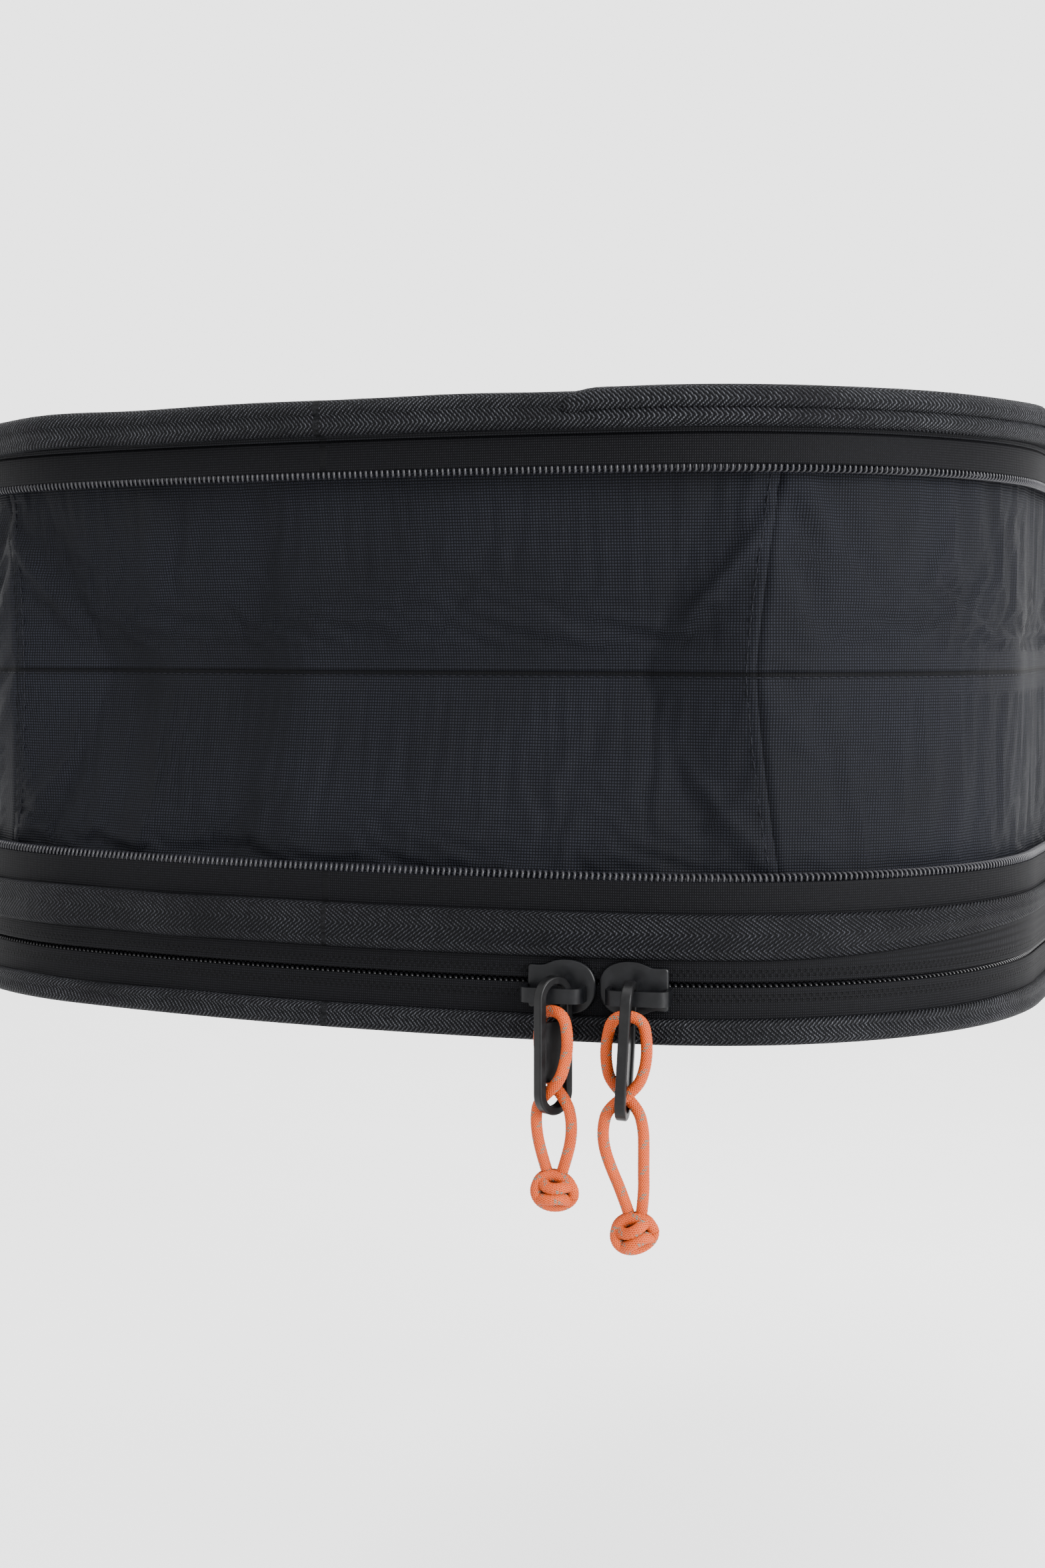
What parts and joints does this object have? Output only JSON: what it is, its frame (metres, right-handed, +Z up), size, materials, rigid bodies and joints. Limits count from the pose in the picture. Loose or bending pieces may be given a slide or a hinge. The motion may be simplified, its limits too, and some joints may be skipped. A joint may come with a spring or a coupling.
{
  "type": "expandable zipped pack",
  "caption": "Black soft-sided pack lying flat, clamshell zip with corded pulls below, open expansion zip and folded gusset above.",
  "frame": {"origin": "middle of the lower panel's outer face, where the pack rests", "axes": "+Z up through the pack's thickness, -Y towards the arched front edge where the main zip's sliders meet, +Y towards the hinged rear edge"},
  "size_m": [0.3686, 0.4938, 0.227],
  "materials": {
    "shell_fabric": "matt woven polyester",
    "gusset_fabric": "plain weave polyester, slight sheen",
    "lining_fabric": "matt woven lining",
    "foam": "closed cell foam, counted as fabric",
    "binding_webbing": "herringbone webbing",
    "zip_tape": "woven zip tape",
    "zip_coil": "nylon coil",
    "stiffener_plastic": "plastic cord and strip",
    "slider_metal": "satin black paint",
    "puller_metal": "satin black paint",
    "orange_cord": "braided cord with grey reflective flecks"
  },
  "bodies": {
    "base": {"lower_panel_skin": "shell_fabric", "lower_panel_foam": "foam", "lower_lining": "lining_fabric", "lower_binding": "binding_webbing", "lower_piping_core": "stiffener_plastic", "main_zip_lower_tape": "zip_tape", "main_zip_lower_coil": "zip_coil", "hinge_lower_leaf": "shell_fabric", "zip_end_tab_left": "zip_tape", "zip_end_tab_right": "zip_tape"},
    "shell": {"main_zip_upper_tape": "zip_tape", "main_zip_upper_coil": "zip_coil", "hinge_upper_leaf": "shell_fabric", "wide_band": "binding_webbing", "band_stiffener": "stiffener_plastic", "side_lining": "lining_fabric", "expansion_lower_tape": "zip_tape", "expansion_lower_coil": "zip_coil", "gusset_front": "gusset_fabric", "gusset_rear": "gusset_fabric", "gusset_seam_tape": "lining_fabric", "expansion_stop_box": "zip_coil"},
    "top": {"expansion_upper_coil": "zip_coil", "expansion_upper_tape": "zip_tape", "upper_side_facing": "shell_fabric", "upper_binding": "binding_webbing", "upper_piping_core": "stiffener_plastic", "upper_lining": "lining_fabric", "upper_panel_foam": "foam", "upper_panel_skin": "shell_fabric", "binding_overlap": "binding_webbing", "expansion_stop_pin": "zip_coil"},
    "slider_left": {"slider_left_body": "slider_metal", "slider_left_strap": "slider_metal"},
    "slider_right": {"slider_right_body": "slider_metal", "slider_right_strap": "slider_metal"},
    "puller_left": {"puller_left": "puller_metal", "cord_left": "orange_cord", "knot_left": "orange_cord"},
    "puller_right": {"puller_right": "puller_metal", "cord_right": "orange_cord", "knot_right": "orange_cord"},
    "expansion_slider": {"expansion_slider_body": "slider_metal", "expansion_slider_strap": "slider_metal"},
    "expansion_puller": {"expansion_puller": "puller_metal"}
  },
  "joints": [
    {"name": "main_open", "type": "hinge", "parent": "base", "child": "shell", "pos_m": [0, 0.242, 0.0164], "axis": [-1, 0, 0], "range_deg": [0, 95]},
    {"name": "expansion_drop", "type": "slide", "parent": "shell", "child": "top", "axis": [0, 0, -1], "range_m": [0, 0.1036], "deforming": ["gusset_front", "gusset_rear", "gusset_seam_tape"]},
    {"name": "slider_left_travel", "type": "hinge", "parent": "base", "child": "slider_left", "pos_m": [0, 0.28, 0], "axis": [0, 0, -1], "range_deg": [0, 16]},
    {"name": "slider_right_travel", "type": "hinge", "parent": "base", "child": "slider_right", "pos_m": [0.0699, -0.12907, 0], "axis": [0, 0, 1], "range_deg": [0, 75]},
    {"name": "puller_left_swing", "type": "hinge", "parent": "slider_left", "child": "puller_left", "pos_m": [0.06838, -0.24305, 0.0135], "axis": [-0.9533, 0.1434, 0.2657], "range_deg": [0, 120]},
    {"name": "puller_right_swing", "type": "hinge", "parent": "slider_right", "child": "puller_right", "pos_m": [0.08804, -0.2401, 0.0135], "axis": [-0.986, -0.1669, 0], "range_deg": [0, 120]},
    {"name": "expansion_slider_travel", "type": "slide", "parent": "shell", "child": "expansion_slider", "axis": [0, -1, 0], "range_m": [0, 0.26]},
    {"name": "expansion_puller_swing", "type": "hinge", "parent": "expansion_slider", "child": "expansion_puller", "pos_m": [-0.1824, 0.15, 0.0435], "axis": [0, 1, 0], "range_deg": [0, 120]}
  ]
}
